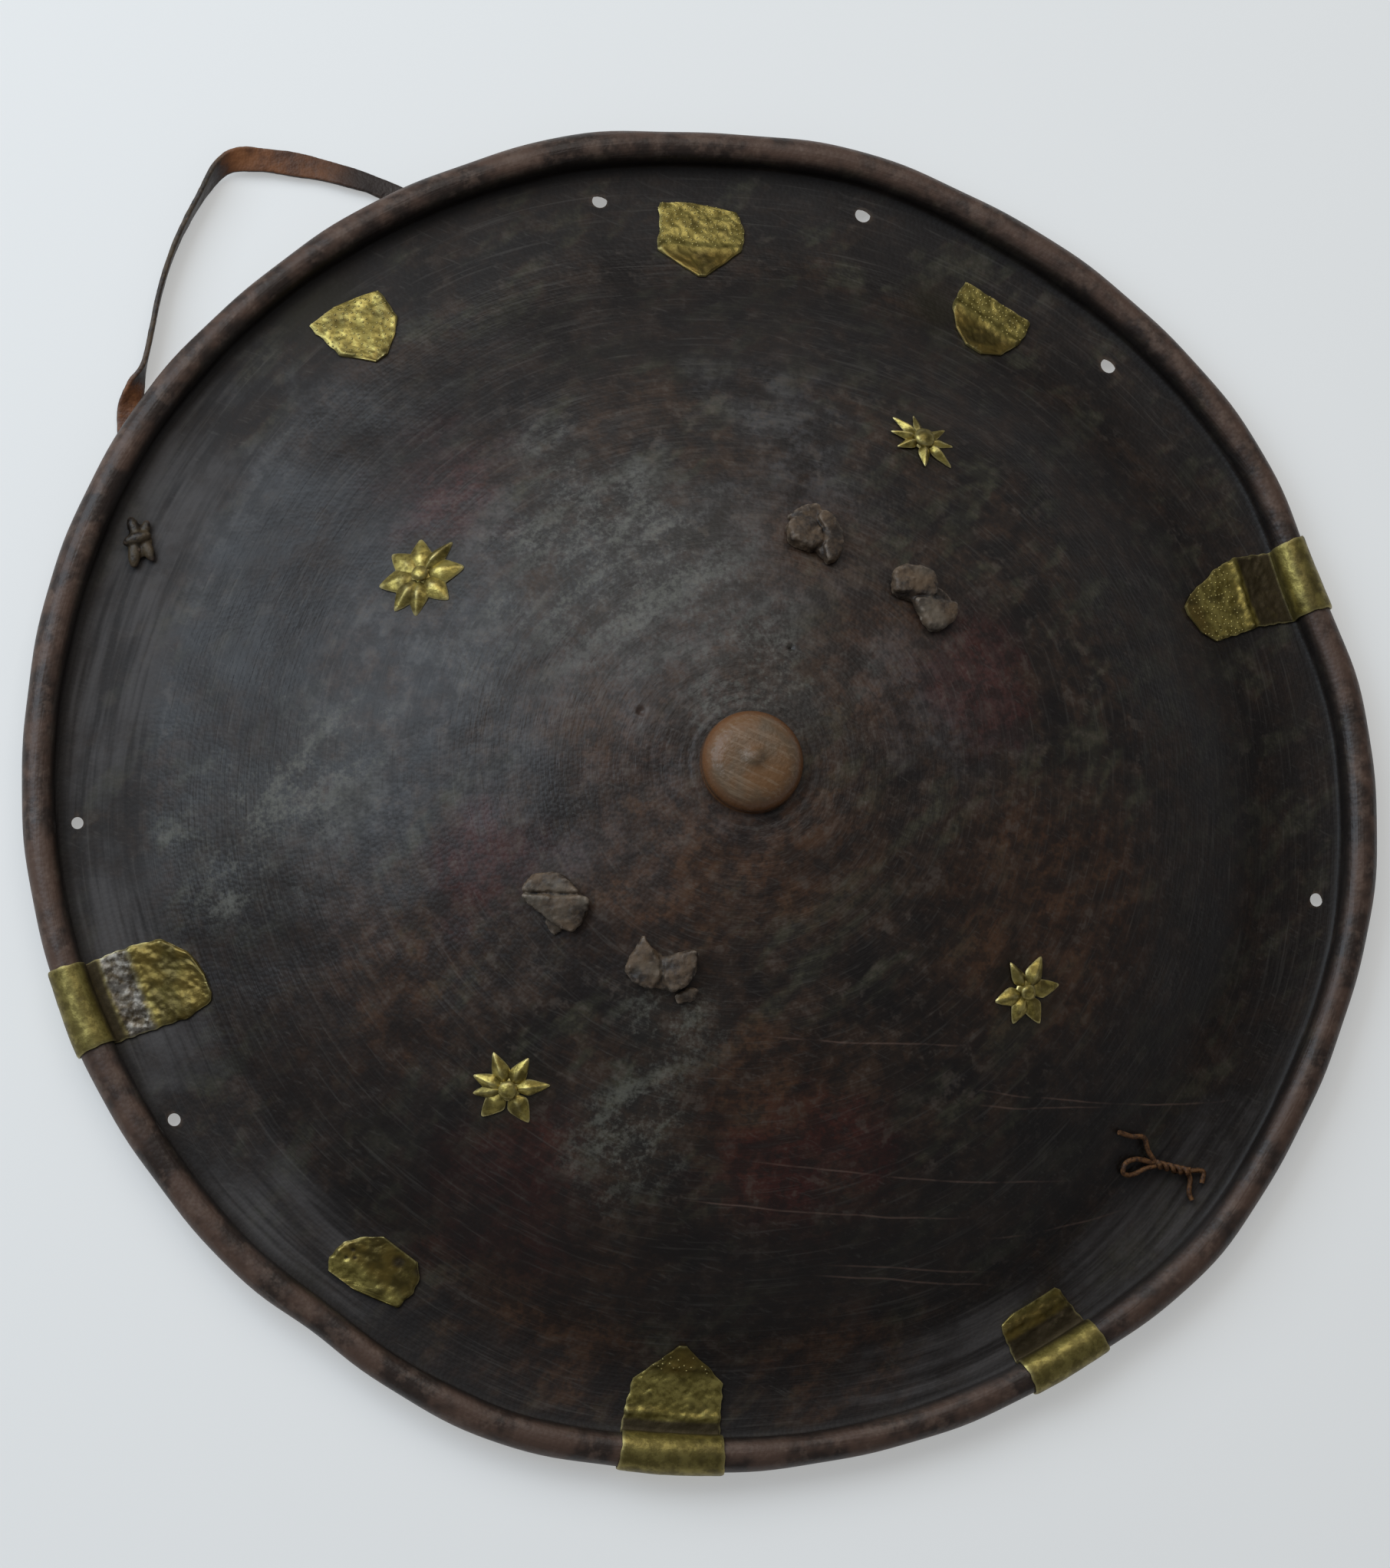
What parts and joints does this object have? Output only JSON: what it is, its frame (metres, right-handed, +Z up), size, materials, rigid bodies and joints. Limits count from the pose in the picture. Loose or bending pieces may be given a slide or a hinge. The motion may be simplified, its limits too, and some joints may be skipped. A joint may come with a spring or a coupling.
{
  "type": "hide shield",
  "caption": "Round domed hide shield with a turned boss, rolled rim, leather grips and carrying loop, brass stars and brass rim plates.",
  "frame": {"origin": "middle of the rim, on the surface the shield lies on", "axes": "+Z up through the boss, out of the shield's face; +Y towards the edge beside which the carrying loop comes out at the left; the shield lies face up on its rim"},
  "size_m": [0.4994, 0.5008, 0.098],
  "materials": {
    "hide": "old dark polished hide, worn brown on the rim and the boss, dusty and scratched",
    "grip_leather": "stiff dark brown strap leather, folded into toggles",
    "thong_leather": "red-brown thong, dark at its edges",
    "iron": "rusty soft iron wire",
    "plate_brass": "tarnished hammered sheet with light punched tooling",
    "star_brass": "tarnished ridged brass, bright on its crests"
  },
  "bodies": {
    "root": {"hide_disc": "hide", "grip_strap_left": "grip_leather", "grip_strap_right": "grip_leather", "carrying_loop": "thong_leather", "wire_tie": "iron", "rim_clip_right": "plate_brass", "rim_clip_left": "plate_brass", "rim_clip_bottom": "plate_brass", "rim_clip_lower_right": "plate_brass", "rim_plate_top": "plate_brass", "rim_plate_top_left": "plate_brass", "rim_plate_top_right": "plate_brass", "rim_plate_lower_left": "plate_brass", "star_upper_left": "star_brass", "star_upper_right": "star_brass", "star_lower_left": "star_brass", "star_lower_right": "star_brass", "rivet_upper_left": "star_brass", "rivet_upper_right": "star_brass", "rivet_lower_left": "star_brass", "rivet_lower_right": "star_brass"}
  },
  "joints": []
}
